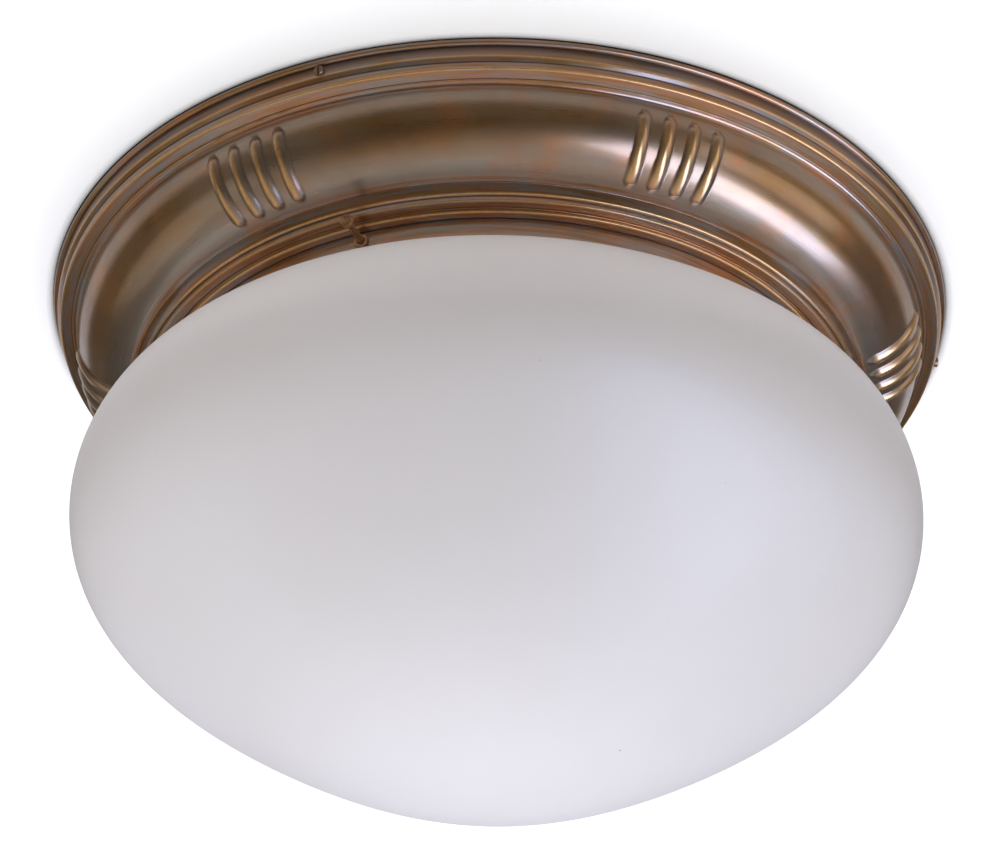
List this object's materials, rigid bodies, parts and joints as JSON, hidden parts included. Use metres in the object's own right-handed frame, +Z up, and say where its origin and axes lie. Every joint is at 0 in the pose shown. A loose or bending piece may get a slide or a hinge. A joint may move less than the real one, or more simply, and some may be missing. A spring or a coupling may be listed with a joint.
{
  "type": "flush ceiling light",
  "caption": "Round flush ceiling light: a pressed, ribbed metal canopy with a stepped gallery whose thumb screws hold an opal glass bowl by its neck.",
  "frame": {"origin": "centre of the ceiling plate's upper face, in the plane of the ceiling", "axes": "+Z up into the ceiling, the light hangs to -Z; -Y points to the front thumb screw, +X along the lamps"},
  "size_m": [0.4, 0.4, 0.2395],
  "materials": {
    "patina_metal": "aged brown patina on brass, worn to gold on the edges",
    "opal_glass": "satin opal glass",
    "screw_metal": "aged brown brass, satin",
    "bush_brass": "worn brass",
    "rim_screw_metal": "aged brass, satin",
    "plate_steel": "zinc plated",
    "bush_rubber": "moulded rubber",
    "bracket_steel": "zinc plated",
    "fixing_steel": "zinc plated",
    "porcelain": "white glaze",
    "contact_brass": "bare brass",
    "bulb_glass": "frosted inside",
    "bulb_cap_metal": "drawn aluminium",
    "bulb_insulator": "black glass",
    "bulb_solder": "tinned",
    "block_ceramic": "unglazed white ceramic",
    "earth_brass": "bare brass",
    "live_wire": "brown heat-proof insulation",
    "neutral_wire": "blue heat-proof insulation",
    "earth_wire": "green and yellow insulation"
  },
  "bodies": {
    "ceiling_body": {"canopy": "patina_metal", "gallery_bushes": "bush_brass", "rim_screws": "rim_screw_metal", "ceiling_plate": "plate_steel", "cable_bush": "bush_rubber", "bracket_1": "bracket_steel", "bracket_2": "bracket_steel", "bracket_screws": "fixing_steel", "lampholder_1": "porcelain", "lampholder_2": "porcelain", "holder_screws": "fixing_steel", "thread_shell_1": "contact_brass", "thread_shell_2": "contact_brass", "centre_contact_1": "contact_brass", "centre_contact_2": "contact_brass", "holder_terminals": "contact_brass", "terminal_block": "block_ceramic", "terminal_inserts": "contact_brass", "terminal_screws": "fixing_steel", "block_screw": "fixing_steel", "earth_screw": "earth_brass", "earth_washer": "earth_brass", "wire_live_1": "live_wire", "wire_live_2": "live_wire", "wire_neutral_1": "neutral_wire", "wire_neutral_2": "neutral_wire", "wire_earth": "earth_wire"},
    "glass": {"glass_bowl": "opal_glass"},
    "screw_front": {"thumb_screw_1": "screw_metal"},
    "screw_right": {"thumb_screw_2": "screw_metal"},
    "screw_left": {"thumb_screw_3": "screw_metal"},
    "bulb_1": {"bulb_glass_1": "bulb_glass", "bulb_cap_1": "bulb_cap_metal", "bulb_insulator_1": "bulb_insulator", "bulb_contact_1": "bulb_solder"},
    "bulb_2": {"bulb_glass_2": "bulb_glass", "bulb_cap_2": "bulb_cap_metal", "bulb_insulator_2": "bulb_insulator", "bulb_contact_2": "bulb_solder"}
  },
  "joints": [
    {"name": "glass_lower", "type": "slide", "parent": "ceiling_body", "child": "glass", "axis": [0, 0, -1], "range_m": [0, 0.035]},
    {"name": "screw_front_out", "type": "slide", "parent": "ceiling_body", "child": "screw_front", "axis": [0, -1, 0], "range_m": [0, 0.007]},
    {"name": "screw_right_out", "type": "slide", "parent": "ceiling_body", "child": "screw_right", "axis": [0.866, 0.5, 0], "range_m": [0, 0.007]},
    {"name": "screw_left_out", "type": "slide", "parent": "ceiling_body", "child": "screw_left", "axis": [-0.866, 0.5, 0], "range_m": [0, 0.007]},
    {"name": "bulb_1_unscrew", "type": "slide", "parent": "ceiling_body", "child": "bulb_1", "axis": [1, 0, 0], "range_m": [0, 0.03]},
    {"name": "bulb_2_unscrew", "type": "slide", "parent": "ceiling_body", "child": "bulb_2", "axis": [-1, 0, 0], "range_m": [0, 0.03]}
  ],
  "couplings": [
    {"joint": "screw_front_out", "follows": "glass_lower", "ratio": 0.2},
    {"joint": "screw_right_out", "follows": "glass_lower", "ratio": 0.2},
    {"joint": "screw_left_out", "follows": "glass_lower", "ratio": 0.2}
  ]
}
